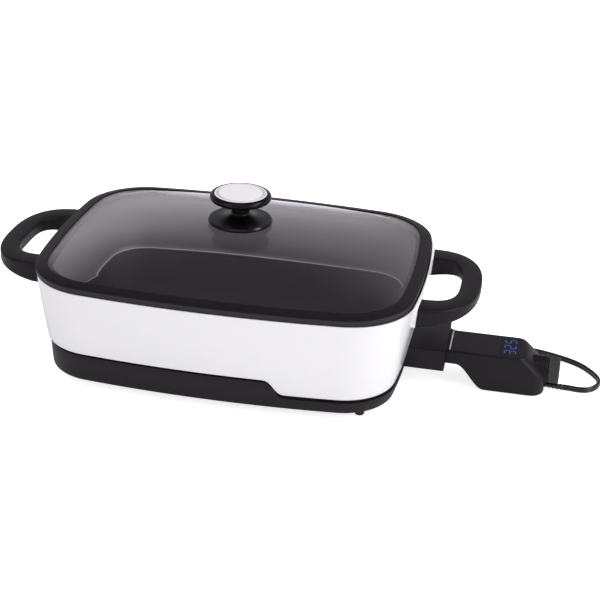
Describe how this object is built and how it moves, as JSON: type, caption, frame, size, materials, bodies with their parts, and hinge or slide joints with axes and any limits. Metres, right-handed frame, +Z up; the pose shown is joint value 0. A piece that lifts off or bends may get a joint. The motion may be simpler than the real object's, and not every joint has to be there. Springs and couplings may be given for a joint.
{
  "type": "electric skillet",
  "caption": "Rectangular electric skillet with a white shell, black base, two loop handles, a domed glass lid with a knob, and a plug-in heat control with a cord.",
  "frame": {"origin": "centre of the footprint on the table, without the cord", "axes": "+X from the left handle to the heat control, +Y to the rear, +Z up"},
  "size_m": [0.6619, 0.4128, 0.1874],
  "materials": {
    "nonstick": "cast aluminium with a dark non-stick coating",
    "white_enamel": "glossy white enamel on sheet steel",
    "black_plastic": "satin black phenolic",
    "black_gloss": "gloss black",
    "foot_rubber": "matt black rubber",
    "lid_silicone": "satin black silicone",
    "lid_glass": "clear tempered glass",
    "steel": "plain steel",
    "element_steel": "dull sheathed rod",
    "inlay_steel": "spun steel disc",
    "ceramic": "unglazed ceramic",
    "grey_trim": "light grey trim line",
    "display_blue": "lit blue bars",
    "board_green": "circuit board",
    "brass": "plain brass",
    "blade_brass": "plated brass",
    "cord_vinyl": "black vinyl",
    "cord_tie_vinyl": "black tie"
  },
  "bodies": {
    "skillet_body": {"pan": "nonstick", "outer_shell": "white_enamel", "base_tray": "black_plastic", "foot_front_left": "foot_rubber", "foot_front_right": "foot_rubber", "foot_rear_left": "foot_rubber", "foot_rear_right": "foot_rubber", "base_screw_front_left": "steel", "base_screw_front_right": "steel", "base_screw_rear_left": "steel", "base_screw_rear_right": "steel", "handle_left": "black_plastic", "handle_right": "black_plastic", "handle_screw_front_left": "steel", "handle_screw_front_right": "steel", "handle_screw_rear_left": "steel", "handle_screw_rear_right": "steel", "heating_element": "element_steel", "element_clamp_left": "steel", "element_clamp_right": "steel", "terminal_bracket": "steel", "terminal_insulator_front": "ceramic", "terminal_insulator_rear": "ceramic", "terminal_pin_front": "steel", "terminal_pin_rear": "steel", "sensor_sleeve": "steel", "probe_guard": "black_plastic", "guard_screw_front": "steel", "guard_screw_rear": "steel"},
    "heat_control": {"control_case": "black_plastic", "control_cover": "black_plastic", "control_trim": "grey_trim", "display_window": "black_gloss", "display_module": "display_blue", "circuit_board": "board_green", "board_screw_front": "steel", "board_screw_rear": "steel", "power_relay": "black_plastic", "dial_encoder": "steel", "contact_sleeve_front": "brass", "contact_sleeve_rear": "brass", "sensor_probe": "steel", "strain_relief": "cord_vinyl", "power_cord": "cord_vinyl", "cord_coil": "cord_vinyl", "cord_tie": "cord_tie_vinyl", "plug_body": "cord_vinyl", "plug_blade_front": "blade_brass", "plug_blade_rear": "blade_brass"},
    "dial": {"temperature_dial": "black_plastic", "dial_shaft": "steel"},
    "lid": {"lid_ring": "lid_silicone", "lid_glass": "lid_glass", "knob_base": "black_gloss", "knob_grip": "black_gloss", "knob_inlay": "inlay_steel", "knob_washer": "lid_silicone", "knob_screw": "steel"}
  },
  "joints": [
    {"name": "lid_lift", "type": "slide", "parent": "skillet_body", "child": "lid", "axis": [0, 0, 1], "range_m": [0, 0.15]},
    {"name": "control_pull", "type": "slide", "parent": "skillet_body", "child": "heat_control", "axis": [1, 0, 0], "range_m": [0, 0.12]},
    {"name": "dial_turn", "type": "hinge", "parent": "heat_control", "child": "dial", "pos_m": [0.3, 0, 0.02275], "axis": [1, 0, 0], "continuous": true}
  ]
}
